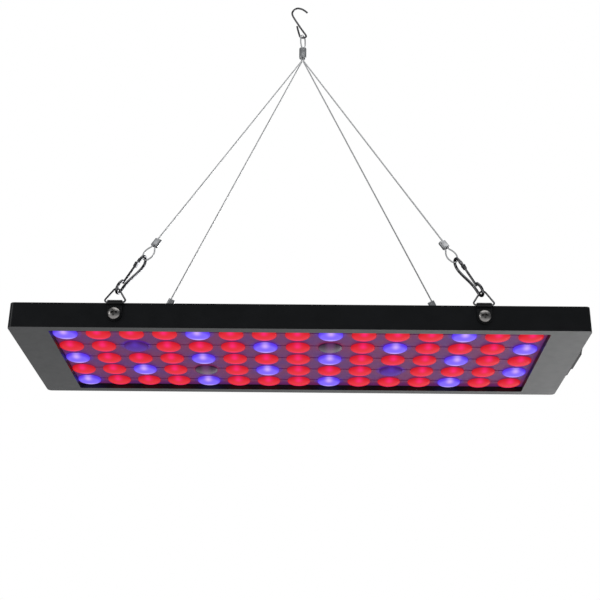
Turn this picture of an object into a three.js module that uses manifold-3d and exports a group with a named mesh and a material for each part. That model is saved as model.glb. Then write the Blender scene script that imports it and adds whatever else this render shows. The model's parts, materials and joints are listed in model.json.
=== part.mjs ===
// A hanging LED grow light: a slim black panel with 75 lensed LEDs, its mains inlet and driver,
// and the wire sling with four snap hooks that hangs it from one ceiling hook.
// Units are millimetres. The panel frame has its origin at the centre of the panel's underside,
// +X along the panel, +Y to the rear and +Z up. The whole light is then moved so that the origin
// is the point where the ceiling hook bears on what it hangs from.
import * as THREE from 'three';
import { mergeVertices } from 'three/addons/utils/BufferGeometryUtils.js';
import Module from 'manifold-3d';

const wasm = await Module();
wasm.setup();

// ---------------------------------------------------------------- driving dimensions
const gap = 0.1; // between stacked sheets
const fit = 0.3; // between a piece and the hole that it sits in

const panel = { length: 310, width: 103, height: 14.2, corner: 2.5, wall: 1.6, bezel: 2.5 };
const opening = { length: 268, width: 92.4, rim: 0.7, rimWidth: 1.5 };
const grid = { columns: 15, rows: 5, pitchX: 18.05, pitchY: 18.5, x: -0.9, y: 1.3 };
const lens = { radius: 6.7, dome: 1.7, baseZ: 2.6, web: 0.4, webWidth: 2, sides: 8 };
const board = { length: 273, width: 95.6, thickness: 1.6, z: 3.3 };
const chip = { size: 3.5, height: 0.35, track: 0.15, z: 2.7 };
const cover = { thickness: 1.2, z: 12.8, slots: 7, slotLength: 44, slotWidth: 2.4, slotPitch: 8 };
const post = { x: 148.3, y: 44.3, radius: 3 };
const coverScrew = { head: 2.5, sink: 1.2, shank: 1.25, length: 7, sides: 12 };

const driver = { x: -144.8, width: 13.6, length: 72, z: 3, thickness: 1.2 };
const inlet = {
  z: 7.1, flange: 44.6, height: 12.2, thickness: 1.2, rim: 1.6, rimLength: 25.8, rimHeight: 10,
};
const socket = { length: 20.5, height: 8.8, depth: 13.5, wall: 0.9, end: 1.4, back: 1.8 };
const pin = { radius: 1.15, pitch: 8.6, length: 13.4, tail: 1.8 };
const inletScrew = { pitch: 35, head: 2.3, headHeight: 1.3, shank: 1.2, length: 6, sides: 12 };

const tab = { frontX: 98.3, rearX: 100.5, width: 8, thickness: 1, lowZ: 3.5, barZ: 14.1, roll: 1.2 };
const tabScrew = { z: 7.6, head: 3.4, headHeight: 2.1, shank: 1.6, length: 5, sides: 12 };
const ring = { wire: 0.5, halfBase: 5.4, height: 9.3, apexRadius: 1.8, cornerRadius: 1.3, split: 0.2 };
const clip = { wire: 0.8, bend: 3.2, bendAt: 0.2, slack: 0.55, top: 26.6, thick: 0.95 };
const gate = { wire: 0.65, at: -1.75, pivot: 18.6, tipAt: -0.1, tip: 4.3, pin: 0.4 };
const knuckle = { radius: 1.2, half: 0.35, cheek: 0.95 };
const rope = { wire: 0.45, apart: 0.8, loop: 2.1, bulge: 2.75, slack: 0.45, aside: -0.6, lean: 1.2 };
const fork = { z: 207.5, x: 0.6, y: 0.52 };
const sleeve = { from: 35, length: 5.2, width: 4.4, thickness: 2.6, boreWidth: 2.9, boreThickness: 1.3 };

const topSleeve = { x: -0.6, z: 209.8, length: 7.8, width: 4.6, thickness: 4, wall: 0.7 };
const eye = { wire: 0.45, arch: 2.4, drop: 0.8, turn: 55 };
const hook = { wire: 0.6, pivotX: -0.6, pivotZ: 226.1, topX: -4.5, topZ: 249.75 };

const innerLength = panel.length - 2 * panel.wall;
const innerWidth = panel.width - 2 * panel.wall;

// ---------------------------------------------------------------- materials
const finish = (color, roughness, metalness) =>
  new THREE.MeshStandardMaterial({ color, roughness, metalness });
const looks = {
  housing: finish(0x1a1b1d, 0.5, 0.3),
  board: finish(0xd8d4dc, 0.6, 0),
  lens: finish(0xe8343c, 0.15, 0),
  chip: finish(0xe9dfa6, 0.5, 0),
  circuit: finish(0x1d5b38, 0.6, 0),
  component: finish(0x2a2a2c, 0.5, 0),
  winding: finish(0xc9a227, 0.5, 0.1),
  can: finish(0x39424f, 0.35, 0.3),
  sheet: finish(0xe6e2d2, 0.7, 0),
  cable: finish(0x151515, 0.6, 0),
  plastic: finish(0x121212, 0.45, 0),
  steel: finish(0xb9bbbe, 0.25, 1),
  chrome: finish(0xc8cacc, 0.12, 1),
  sleeve: finish(0x8f9194, 0.45, 0.9),
  brass: finish(0xc0a060, 0.3, 1),
};

const light = new THREE.Group();

function add(name, geometry, material) {
  const mesh = new THREE.Mesh(geometry, material);
  mesh.name = name;
  light.add(mesh);
}

// ---------------------------------------------------------------- solids
function toSolid(geometry) {
  const bare = geometry.clone();
  bare.deleteAttribute('normal');
  bare.deleteAttribute('uv');
  const merged = mergeVertices(bare, 1e-5);
  return new wasm.Manifold(
    new wasm.Mesh({
      numProp: 3,
      vertProperties: merged.attributes.position.array,
      triVerts: Uint32Array.from(merged.index.array),
    }),
  );
}

function toGeometry(solid) {
  const mesh = solid.getMesh();
  const geometry = new THREE.BufferGeometry();
  geometry.setAttribute('position', new THREE.BufferAttribute(mesh.vertProperties, 3));
  geometry.setIndex(new THREE.BufferAttribute(mesh.triVerts, 1));
  geometry.computeVertexNormals();
  return geometry;
}

function join(...geometries) {
  return toGeometry(geometries.map(toSolid).reduce((all, next) => all.add(next)));
}

function cut(geometry, ...tools) {
  return toGeometry(tools.map(toSolid).reduce((rest, tool) => rest.subtract(tool), toSolid(geometry)));
}

// A box between two corners.
function block(x0, x1, y0, y1, z0, z1) {
  const geometry = new THREE.BoxGeometry(x1 - x0, y1 - y0, z1 - z0);
  return geometry.translate((x0 + x1) / 2, (y0 + y1) / 2, (z0 + z1) / 2);
}

// A rectangle with round corners, centred on the origin.
function roundRectangle(length, width, radius) {
  const [x, y] = [length / 2 - radius, width / 2 - radius];
  const shape = new THREE.Shape();
  shape.absarc(x, y, radius, 0, Math.PI / 2);
  shape.absarc(-x, y, radius, Math.PI / 2, Math.PI);
  shape.absarc(-x, -y, radius, Math.PI, 1.5 * Math.PI);
  shape.absarc(x, -y, radius, 1.5 * Math.PI, 2 * Math.PI);
  shape.closePath();
  return shape;
}

// An outline raised straight up from one height to another.
function raise(shape, z0, z1, curveSegments = 4) {
  const settings = { depth: z1 - z0, bevelEnabled: false, curveSegments };
  return new THREE.ExtrudeGeometry(shape, settings).translate(0, 0, z0);
}

function cylinder(radius, z0, z1, sides) {
  const geometry = new THREE.CylinderGeometry(radius, radius, z1 - z0, sides);
  return geometry.rotateX(Math.PI / 2).translate(0, 0, (z0 + z1) / 2);
}

// A turned piece: profile points are [radius, height] from the axis and back to it.
function turned(profile, sides) {
  const points = profile.map(([radius, height]) => new THREE.Vector2(radius, height));
  return new THREE.LatheGeometry(points, sides).rotateX(Math.PI / 2);
}

// A smooth curve that is sampled at its own points, so bends get many stations and runs get few.
class Stations extends THREE.CatmullRomCurve3 {
  constructor(points) {
    super(points, false, 'centripetal');
  }

  getPointAt(share, target) {
    return this.getPoint(share, target);
  }

  getTangentAt(share, target) {
    return this.getTangent(share, target);
  }
}

// A round wire through the given points.
function wire(points, radius, sides) {
  const section = new THREE.Shape();
  for (let i = 0; i < sides; i++) {
    const angle = (2 * Math.PI * (i + 0.5)) / sides;
    const place = [radius * Math.cos(angle), radius * Math.sin(angle)];
    if (i) section.lineTo(...place);
    else section.moveTo(...place);
  }
  const steps = points.length - 1;
  const extrudePath = new Stations(points);
  return new THREE.ExtrudeGeometry(section, { steps, bevelEnabled: false, extrudePath });
}

// Points of an arc as [a, b] pairs; angles in degrees.
function arc(centreA, centreB, radius, from, to, count) {
  return Array.from({ length: count }, (_, i) => {
    const angle = THREE.MathUtils.degToRad(from + ((to - from) * i) / (count - 1));
    return [centreA + radius * Math.cos(angle), centreB + radius * Math.sin(angle)];
  });
}

// Moves a piece made about the Z axis so that its axis points along a direction from a place.
function aim(geometry, place, direction, side) {
  const z = direction.clone().normalize();
  const x = side.clone().addScaledVector(z, -side.dot(z)).normalize();
  const y = new THREE.Vector3().crossVectors(z, x);
  return geometry.applyMatrix4(new THREE.Matrix4().makeBasis(x, y, z).setPosition(place));
}

const X = new THREE.Vector3(1, 0, 0);
const Z = new THREE.Vector3(0, 0, 1);

// A pan-head cross-recess screw along +Z, the head's seat at the origin and the shank below it.
function panScrew({ head, headHeight, shank, length, sides }) {
  const crown = [0.995, 0.9, 0.62].map((share, i) => [head * share, headHeight * [0.35, 0.75, 1][i]]);
  const shaft = [[0, -length], [shank, -length], [shank, 0], [head, 0]];
  const body = turned([...shaft, ...crown, [0, headHeight]], sides);
  return crossRecess(body, head, headHeight);
}

function crossRecess(body, head, top) {
  const [long, short] = [head * 0.55, head * 0.13];
  const depth = top - head * 0.4;
  return cut(
    body,
    block(-long, long, -short, short, depth, top + 1),
    block(-short, short, -long, long, depth, top + 1),
  );
}

// ---------------------------------------------------------------- housing
const legs = [
  { name: 'front_left', x: -tab.frontX, side: -1 },
  { name: 'front_right', x: tab.frontX, side: -1 },
  { name: 'rear_left', x: -tab.rearX, side: 1 },
  { name: 'rear_right', x: tab.rearX, side: 1 },
];
const corners = [[-1, -1], [1, -1], [-1, 1], [1, 1]];

function frontFrame() {
  const outer = raise(roundRectangle(panel.length, panel.width, panel.corner), 0, panel.height);
  const inner = roundRectangle(innerLength, innerWidth, panel.corner - panel.wall);
  const rim = raise(
    roundRectangle(opening.length + 2 * opening.rimWidth, opening.width + 2 * opening.rimWidth, 1.5),
    panel.bezel - gap,
    panel.bezel + opening.rim,
    2,
  );
  const shell = cut(outer, raise(inner, panel.bezel, panel.height + 1, 2));
  const posts = corners.map(([sx, sy]) =>
    cylinder(post.radius, panel.bezel - gap, cover.z - gap, 12).translate(sx * post.x, sy * post.y, 0),
  );
  const window = raise(roundRectangle(opening.length, opening.width, 0.8), -1, panel.height, 2);
  const postHoles = corners.map(([sx, sy]) =>
    cylinder(coverScrew.shank + fit / 2, cover.z - coverScrew.length, cover.z + 1, 10)
      .translate(sx * post.x, sy * post.y, 0),
  );
  const tabHoles = legs.map(({ x, side }) =>
    aim(cylinder(tabScrew.shank + fit, -2, 3, 12),
      new THREE.Vector3(x, side * (panel.width / 2 - 1), tabScrew.z), new THREE.Vector3(0, side, 0), X),
  );
  const end = panel.length / 2;
  const cutOut = block(
    end - 3, end + 1,
    -socket.length / 2 - fit, socket.length / 2 + fit,
    panel.bezel + gap, inlet.z + socket.height / 2 + fit,
  );
  const inletHoles = [-1, 1].map((s) =>
    aim(cylinder(inletScrew.shank + fit, -3, 1, 10),
      new THREE.Vector3(end, (s * inletScrew.pitch) / 2, inlet.z), X, Z),
  );
  return cut(join(shell, rim, ...posts), window, ...postHoles, ...tabHoles, cutOut, ...inletHoles);
}

function backCover() {
  const top = cover.z + cover.thickness;
  const outline = roundRectangle(innerLength - 2 * fit, innerWidth - 2 * fit, 0.8);
  const plate = raise(outline, cover.z, top, 2);
  const slots = [];
  for (const bank of [-1, 1]) {
    for (let i = 0; i < cover.slots; i++) {
      const x = bank * (38 + i * cover.slotPitch);
      const [w, l] = [cover.slotWidth / 2, cover.slotLength / 2];
      slots.push(block(x - w, x + w, -l, l, cover.z - 1, top + 1));
    }
  }
  const seat = [
    [0, -1], [coverScrew.shank + fit, -1], [coverScrew.shank + fit, 0],
    [coverScrew.head + fit, coverScrew.sink + 0.05], [coverScrew.head + fit, 3], [0, 3],
  ];
  const seats = corners.map(([sx, sy]) =>
    turned(seat, coverScrew.sides).translate(sx * post.x, sy * post.y, cover.z),
  );
  return cut(plate, ...slots, ...seats);
}

// A countersunk screw whose head lies flush with the cover.
function countersunkScrew() {
  const { head, sink, shank, length, sides } = coverScrew;
  const depth = -length + sink + 1;
  const profile = [[0, depth], [shank, depth], [shank, 0.1], [head, sink], [0, sink]];
  return crossRecess(turned(profile, sides), head, sink);
}

// ---------------------------------------------------------------- LEDs and lenses
const columnX = (i) => grid.x + (i - (grid.columns - 1) / 2) * grid.pitchX;
const rowY = (j) => grid.y + (j - (grid.rows - 1) / 2) * grid.pitchY;

function lensRow(j) {
  const { radius, dome, baseZ, web, webWidth, sides } = lens;
  const crown = [1, 0.62].map((share) => [radius * share, -dome * (1 - share * share)]);
  const one = () => turned([[0, -dome], crown[1], crown[0], [0, 0]], sides);
  const domes = Array.from({ length: grid.columns }, (_, i) =>
    one().translate(columnX(i), rowY(j), baseZ),
  );
  const half = webWidth / 2;
  const strip = block(
    columnX(0), columnX(grid.columns - 1), rowY(j) - half, rowY(j) + half, baseZ - web, baseZ,
  );
  return join(...domes, strip);
}

// The LED packages of a row on their copper track, as one comb outline; its teeth point down.
function ledComb(j) {
  const half = chip.size / 2;
  const top = chip.height + chip.track;
  const comb = new THREE.Shape();
  comb.moveTo(columnX(0) - half, top);
  for (let i = 0; i < grid.columns; i++) {
    const x = columnX(i);
    if (i) comb.lineTo(x - half, chip.height);
    comb.lineTo(x - half, 0);
    comb.lineTo(x + half, 0);
    if (i < grid.columns - 1) comb.lineTo(x + half, chip.height);
  }
  comb.lineTo(columnX(grid.columns - 1) + half, top);
  const geometry = new THREE.ExtrudeGeometry(comb, { depth: chip.size, bevelEnabled: false });
  return geometry.rotateX(Math.PI / 2).translate(0, rowY(j) + half, chip.z);
}

// All rows in series: end links join each row's track to the next at alternate ends.
function ledArray() {
  const combs = Array.from({ length: grid.rows }, (_, j) => ledComb(j));
  const half = chip.size / 2;
  const links = Array.from({ length: grid.rows - 1 }, (_, j) => {
    const x = columnX(j % 2 ? 0 : grid.columns - 1);
    const z = chip.z + chip.height;
    return block(x - half / 2, x + half / 2, rowY(j), rowY(j + 1), z, z + chip.track);
  });
  return join(...combs, ...links);
}

function ledBoard() {
  const outline = roundRectangle(board.length, board.width, 1);
  return raise(outline, board.z, board.z + board.thickness, 2);
}

// ---------------------------------------------------------------- driver
function addDriver() {
  const [x, half, long] = [driver.x, driver.width / 2, driver.length / 2];
  const top = driver.z + driver.thickness;
  const seat = top + gap;
  const lyingCan = (radius, length, y) =>
    aim(cylinder(radius, -length / 2, length / 2, 14), new THREE.Vector3(x, y, seat + radius), X, Z);
  const sheet = block(x - half - 0.6, x + half + 0.3, -long - 2, long + 2, 2.6, 2.9);
  add('insulating_sheet', sheet, looks.sheet);
  add('driver_board', block(x - half, x + half, -long, long, driver.z, top), looks.circuit);
  const core = join(
    block(x - 5.8, x + 5.8, -6.5, 6.5, seat, seat + 1.6),
    block(x - 5.8, x + 5.8, -4.2, 4.2, seat, seat + 7.4),
    block(x - 4.2, x + 4.2, -6.5, 6.5, seat + 1, seat + 6),
  );
  add('driver_transformer', core, looks.winding);
  add('input_capacitor', lyingCan(3.7, 11.5, 16), looks.can);
  add('output_capacitor', lyingCan(3.2, 10.5, -14), looks.can);
  const choke = cut(cylinder(4.4, 0, 4.6, 14), cylinder(1.8, -1, 6, 10));
  add('filter_choke', choke.translate(x, 27.5, seat), looks.winding);
  add('driver_chip', block(x - 2, x + 2, -25, -20, seat, seat + 1.6), looks.component);
}

// The two internal leads: mains from the inlet along the rear wall, and output to the LED board.
function addLeads() {
  const v = (x, y, z) => new THREE.Vector3(x, y, z);
  const mains = [
    v(141.4, 0, 7.1), v(138, 0, 7.2), v(134, 2, 7.8), v(131, 8, 8.4), v(129, 18, 8.5), v(126, 32, 8.5),
    v(120, 40, 8.5), v(110, 43.5, 8.5), v(96, 44, 8.5), v(-100, 44, 8.5), v(-126, 43.5, 8.5),
    v(-135, 40.5, 8.5), v(-141, 36.2, 8.3), v(-144, 34.4, 7.4), v(-144.8, 33.9, 6), v(-144.8, 33.9, 4.4),
  ];
  add('mains_lead', wire(mains, 1.4, 8), looks.cable);
  const output = [
    v(-140.5, -30, 4.4), v(-140.5, -30, 5.8), v(-139.6, -30, 7), v(-137.6, -30, 7.7), v(-135, -30, 7.7),
    v(-133, -30, 7.1), v(-132.2, -30, 6), v(-132.2, -30, 5.1),
  ];
  add('led_lead', wire(output, 0.8, 8), looks.cable);
}

// ---------------------------------------------------------------- mains inlet
const inletFace = panel.length / 2 + gap;

// The inlet's flange and collar outside the wall, and its socket inside.
function inletBody() {
  const front = inletFace + inlet.thickness;
  const back = inletFace - socket.depth;
  const alongY = new THREE.Vector3(0, 1, 0);
  const plate = raise(roundRectangle(inlet.flange, inlet.height, 3.5), 0, inlet.thickness, 4);
  const flange = aim(plate, new THREE.Vector3(inletFace, 0, inlet.z), X, alongY);
  const ring = raise(roundRectangle(inlet.rimLength, inlet.rimHeight, 1.5), -0.2, inlet.rim, 2);
  const collar = aim(ring, new THREE.Vector3(front, 0, inlet.z), X, alongY);
  const [halfY, halfZ] = [socket.length / 2, socket.height / 2];
  const barrel = block(back, inletFace + 0.2, -halfY, halfY, inlet.z - halfZ, inlet.z + halfZ);
  const [hollowY, hollowZ] = [halfY - socket.end, halfZ - socket.wall];
  const hollow = block(
    back + socket.back, front + 3, -hollowY, hollowY, inlet.z - hollowZ, inlet.z + hollowZ,
  );
  const hole = (radius, x, y) =>
    aim(cylinder(radius, -1, 4, 12), new THREE.Vector3(x, y, inlet.z), X, Z);
  const holes = [-1, 1].flatMap((s) => [
    hole(pin.radius + 0.15, back, (s * pin.pitch) / 2),
    hole(inletScrew.shank + fit, inletFace, (s * inletScrew.pitch) / 2),
  ]);
  return cut(join(flange, collar, barrel), hollow, ...holes);
}

function addInlet() {
  add('inlet_body', inletBody(), looks.plastic);
  [-1, 1].forEach((s, i) => {
    const start = new THREE.Vector3(
      inletFace - socket.depth - pin.tail, (s * pin.pitch) / 2, inlet.z,
    );
    const { radius, length } = pin;
    const rod = turned([[0, 0], [radius, 0], [radius, length - 0.8], [0.7, length], [0, length]], 12);
    add(`inlet_pin_${i + 1}`, aim(rod, start, X, Z), looks.brass);
    const seat = new THREE.Vector3(
      inletFace + inlet.thickness + gap / 2, (s * inletScrew.pitch) / 2, inlet.z,
    );
    add(`inlet_screw_${i + 1}`, aim(panScrew(inletScrew), seat, X, Z), looks.steel);
  });
}

// ---------------------------------------------------------------- hanging hardware
// One leg of the sling: its ring bar, the ring's lean, and the line from the ring to the top.
function legFrame({ x, side }) {
  const barY = side * (panel.width / 2 + gap + tab.roll);
  const bar = new THREE.Vector3(x, barY, tab.barZ);
  const inward = -Math.sign(x);
  const top = new THREE.Vector3(topSleeve.x - inward * fork.x, side * fork.y, fork.z);
  // The ring leans so that the pull lies in its plane; a few rounds settle the contact point.
  let contact = bar.clone();
  let [pull, rise, centre] = [null, null, null];
  for (let i = 0; i < 8; i++) {
    pull = top.clone().sub(contact).normalize();
    rise = new THREE.Vector3(0, pull.y, pull.z).normalize();
    centre = bar.clone().addScaledVector(rise, ring.height - ring.apexRadius);
    contact = centre.clone().addScaledVector(pull, ring.apexRadius);
  }
  const face = X.clone().multiplyScalar(-inward).addScaledVector(pull, pull.x * inward).normalize();
  const across = new THREE.Vector3(0, -side * pull.z, side * pull.y).normalize();
  const bend = new THREE.Vector3().crossVectors(across, pull).normalize();
  return { bar, top, contact, pull, rise, face, across, bend, x, side };
}

// A point of a leg, a across and b up along the pull from the ring's contact point.
const onLeg = (leg, axis, a, b) =>
  leg.contact.clone().addScaledVector(axis, a).addScaledVector(leg.pull, b);

// A sheet-metal tab against the side wall, its top rolled into an eye for the ring's bar.
function hangerTab(leg) {
  const half = tab.width / 2;
  const outline = new THREE.Shape();
  outline.moveTo(-half, tab.barZ);
  outline.lineTo(-half, tab.lowZ + half);
  outline.absarc(0, tab.lowZ + half, half, Math.PI, 2 * Math.PI);
  outline.lineTo(half, tab.barZ);
  outline.closePath();
  const settings = { depth: tab.thickness, bevelEnabled: false, curveSegments: 8 };
  const plate = new THREE.ExtrudeGeometry(outline, settings).rotateX(Math.PI / 2);
  const plateY = leg.side * (panel.width / 2 + gap + tab.thickness / 2);
  plate.translate(leg.x, plateY + tab.thickness / 2, 0);
  const roll = (radius, over) =>
    aim(cylinder(radius, -half - over, half + over, 12), leg.bar, X, Z);
  const screwHole = aim(
    cylinder(tabScrew.shank + fit, -3, 3, 12),
    new THREE.Vector3(leg.x, plateY, tabScrew.z), new THREE.Vector3(0, 1, 0), X,
  );
  return cut(join(plate, roll(tab.roll, 0)), roll(ring.wire + 0.2, 1), screwHole);
}

// The triangular ring is one bent wire; its ends meet inside the tab's roll.
function hangerRing(leg) {
  const { halfBase, height, apexRadius, cornerRadius, split } = ring;
  const reach = height - apexRadius;
  const [dx, dy] = [halfBase - cornerRadius, reach - cornerRadius];
  const flank = Math.atan2(dy, dx) + Math.asin((apexRadius - cornerRadius) / Math.hypot(dx, dy));
  const turn = 90 - THREE.MathUtils.radToDeg(flank);
  const right = [
    [split, 0], [halfBase - cornerRadius - 0.4, 0],
    ...arc(halfBase - cornerRadius, cornerRadius, cornerRadius, -90, turn, 5),
    ...arc(0, reach, apexRadius, turn, 90, 5),
  ];
  const left = right.slice(0, -1).reverse().map(([a, b]) => [-a, b]);
  const points = [...right, ...left].map(([a, b]) =>
    leg.bar.clone().addScaledVector(X, a).addScaledVector(leg.rise, b),
  );
  return wire(points, ring.wire, 6);
}

// The snap hook's body: gate knuckle, thick neck, top bend, bowed arm, lower bend and nose.
function snapHook(leg) {
  const low = -ring.wire - clip.wire - clip.slack;
  const { at } = gate;
  const route = [
    [at, gate.pivot + 1.5], [at, 21.4], [at, 23.2], [-1.35, 24.7], [-0.3, 25.9], [1.2, clip.top],
    [2.9, 26.7], [4.5, 26], [5.6, 24.5], [5.95, 22.3], [5.6, 19.2], [4.9, 16], [4, 12.6], [3.3, 9.2],
    [2.95, 6.6], [3.05, 4.6], ...arc(clip.bendAt, low + clip.bend, clip.bend, 8, -180, 8),
    [-2.75, 2.9], [-2.3, 4.1], [-1.85, 5],
  ].map(([a, b]) => onLeg(leg, leg.across, a, b));
  const pivot = onLeg(leg, leg.across, gate.at, gate.pivot);
  const disc = (radius, half) => aim(cylinder(radius, -half, half, 8), pivot, leg.bend, leg.pull);
  const { half } = knuckle;
  const stalk = aim(block(-half, half, -0.7, 0.7, 0, 2), pivot, leg.pull, leg.bend);
  const neck = aim(cylinder(clip.thick, 1.5, 3.4, 8), pivot, leg.pull, leg.bend);
  const body = join(wire(route, clip.wire, 8), disc(knuckle.radius, half), stalk, neck);
  return cut(body, disc(gate.pin + 0.2, half + 0.5));
}

// The gate: a straight rod with a forked end, and the pin that it turns on.
function snapGate(leg) {
  const hinge = onLeg(leg, leg.across, gate.at, gate.pivot);
  const tip = onLeg(leg, leg.across, gate.tipAt, gate.tip);
  const down = tip.clone().sub(hinge).normalize();
  const { radius, half, cheek } = knuckle;
  const rod = wire([hinge.clone().addScaledVector(down, 2), tip], gate.wire, 6);
  const root = aim(block(-cheek, cheek, -0.7, 0.7, 1.5, 2.4), hinge, down, leg.bend);
  const cheeks = [[-cheek, -half - 0.15], [half + 0.15, cheek]].flatMap(([from, to]) => [
    aim(cylinder(radius - 0.2, from, to, 8), hinge, leg.bend, down),
    aim(block(from, to, -0.7, 0.7, 0, 1.8), hinge, down, leg.bend),
  ]);
  const rivet = aim(cylinder(gate.pin, -cheek, cheek, 6), hinge, leg.bend, down);
  return join(rod, root, ...cheeks, rivet);
}

// The rope runs down through the sleeve, round the snap hook's top bend, and back into the sleeve.
function legRope(leg) {
  const low = clip.top - clip.wire - rope.wire - rope.slack;
  const inside = sleeve.from + sleeve.length - 0.6;
  const side = [
    [rope.bulge - 0.1, 28.2], [rope.bulge, 29.6], [rope.bulge - 0.5, 31.8], [rope.apart + 0.4, 33.8],
  ];
  const mirrored = side.map(([a, b]) => [-a, b]);
  const bottom = arc(0, low + rope.loop, rope.loop, -165, -15, 6);
  const points = [
    [-rope.apart, inside], [-rope.apart, sleeve.from], ...mirrored.reverse(), ...bottom, ...side,
    [rope.apart, sleeve.from], [rope.apart, inside],
  ].map(([a, b]) => {
    const share = THREE.MathUtils.clamp((sleeve.from - b) / (sleeve.from - low), 0, 1);
    return onLeg(leg, leg.face, a + rope.aside, b).addScaledVector(leg.across, rope.lean * share);
  });
  points.push(leg.top, leg.top.clone().setZ(topSleeve.z), leg.top.clone().setZ(topSleeve.z + 0.6));
  return wire(points, rope.wire, 6);
}

// A pressed oval sleeve, open along its length for the ropes inside it.
function pressedSleeve({ width, thickness, length, boreWidth, boreThickness }) {
  const outside = roundRectangle(width, thickness, Math.min(width, thickness) / 2 - 0.05);
  outside.holes.push(roundRectangle(boreWidth, boreThickness, boreThickness / 2 - 0.05));
  return raise(outside, 0, length, 2);
}

function addLeg(spec) {
  const leg = legFrame(spec);
  const { name, side } = spec;
  add(`hanger_tab_${name}`, hangerTab(leg), looks.housing);
  const seatY = side * (panel.width / 2 + tab.thickness + 1.5 * gap);
  const seat = new THREE.Vector3(leg.x, seatY, tabScrew.z);
  const outward = new THREE.Vector3(0, side, 0);
  add(`tab_screw_${name}`, aim(panScrew(tabScrew), seat, outward, X), looks.chrome);
  add(`hanger_ring_${name}`, hangerRing(leg), looks.steel);
  add(`snap_hook_${name}`, snapHook(leg), looks.chrome);
  add(`snap_gate_${name}`, snapGate(leg), looks.chrome);
  add(`sling_wire_${name}`, legRope(leg), looks.steel);
  const ferrule = pressedSleeve(sleeve);
  aim(ferrule, onLeg(leg, leg.face, rope.aside, sleeve.from), leg.pull, leg.face);
  add(`wire_sleeve_${name}`, ferrule, looks.sleeve);
}

// The eye of wire above the top sleeve; the ceiling hook's own eye passes through it.
function topEye() {
  const turn = THREE.MathUtils.degToRad(eye.turn);
  const across = new THREE.Vector3(Math.cos(turn), Math.sin(turn), 0);
  const base = topSleeve.z + topSleeve.length;
  const centre = hook.pivotZ - eye.drop;
  const rising = [
    [0.75, base - 3], [0.8, base - 0.4], [1.7, base + 1.3], [2.4, base + 3.4], [2.5, base + 5.2],
  ];
  const arch = arc(0, centre, eye.arch, 0, 180, 7);
  const falling = rising.map(([a, b]) => [-a, b]).reverse();
  const points = [...rising, ...arch, ...falling].map(([a, b]) => {
    const lean = THREE.MathUtils.mapLinear(b, base, centre, topSleeve.x, hook.pivotX);
    const x = THREE.MathUtils.clamp(lean, topSleeve.x, hook.pivotX);
    return new THREE.Vector3(x, 0, b).addScaledVector(across, a);
  });
  return wire(points, eye.wire, 8);
}

function topFerrule() {
  const { width, thickness, wall } = topSleeve;
  const bore = { boreWidth: width - 2 * wall, boreThickness: thickness - 2 * wall };
  return pressedSleeve({ ...topSleeve, ...bore }).translate(topSleeve.x, 0, topSleeve.z);
}

// One bent wire: open hook, long shank, pointed eye, and its end laid against the shank.
function ceilingHook() {
  const { topX, topZ, pivotX, pivotZ } = hook;
  const route = [
    [2.2, 246], [0.5, 247.7], [-1.3, 249], [-3.1, 249.6], [topX, topZ], [-6.3, 248.85], [-7.55, 247.2],
    [-7.9, 245.8], [-7.65, 244.1], [-6.2, 241], [-4.05, 237.1], [-2.2, 233.9], [-0.4, 230.9], [1.15, 228.3],
    [1.4, 227.3], [0.95, 226.5], [0.2, 226.15], [pivotX, pivotZ], [-1.4, 226.15], [-2.2, 226.6],
    [-2.8, 227.7], [-3.2, 229.2], [-3.9, 232.1], [-4.6, 235.4],
  ];
  return wire(route.map(([x, z]) => new THREE.Vector3(x, 0, z)), hook.wire, 8);
}

// ---------------------------------------------------------------- assembly
add('front_frame', frontFrame(), looks.housing);
add('back_cover', backCover(), looks.housing);
corners.forEach(([sx, sy], i) => {
  const screw = countersunkScrew().translate(sx * post.x, sy * post.y, cover.z);
  add(`cover_screw_${i + 1}`, screw, looks.steel);
});
add('led_board', ledBoard(), looks.board);
add('led_array', ledArray(), looks.chip);
for (let j = 0; j < grid.rows; j++) add(`lens_row_${j + 1}`, lensRow(j), looks.lens);
addDriver();
addLeads();
addInlet();
legs.forEach(addLeg);
add('top_eye', topEye(), looks.steel);
add('top_sleeve', topFerrule(), looks.sleeve);
add('ceiling_hook', ceilingHook(), looks.chrome);

light.position.set(-hook.topX, 0, -(hook.topZ - hook.wire));

export default light;
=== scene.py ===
"""A hanging LED grow light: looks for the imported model, with its sling, lenses and studio."""
import json
import math

import bmesh
import bpy
from mathutils import Matrix, Vector

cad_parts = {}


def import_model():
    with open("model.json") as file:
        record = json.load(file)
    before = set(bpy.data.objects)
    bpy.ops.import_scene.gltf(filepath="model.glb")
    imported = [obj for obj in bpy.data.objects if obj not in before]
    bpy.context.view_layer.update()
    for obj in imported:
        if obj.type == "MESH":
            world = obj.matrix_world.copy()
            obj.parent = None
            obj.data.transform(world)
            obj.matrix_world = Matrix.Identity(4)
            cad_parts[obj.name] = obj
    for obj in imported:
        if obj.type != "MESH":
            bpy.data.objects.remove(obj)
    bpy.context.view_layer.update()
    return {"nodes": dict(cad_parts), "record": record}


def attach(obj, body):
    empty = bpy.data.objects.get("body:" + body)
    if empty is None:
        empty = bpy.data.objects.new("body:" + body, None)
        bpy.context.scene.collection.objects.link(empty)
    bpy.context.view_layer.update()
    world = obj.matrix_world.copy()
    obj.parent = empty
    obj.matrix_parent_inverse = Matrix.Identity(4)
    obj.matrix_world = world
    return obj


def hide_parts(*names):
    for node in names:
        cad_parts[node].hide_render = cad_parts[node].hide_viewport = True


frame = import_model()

# ------------------------------------------------------------------ dimensions, in millimetres
# Shapes are worked out in the panel frame (origin at the centre of the panel's underside) and
# moved into the row frame, whose origin is the ceiling hook's bearing point.
MM = 0.001
OFFSET = Vector((4.5, 0, -249.15))

PANEL_WIDTH = 103
GAP = 0.1

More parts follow.
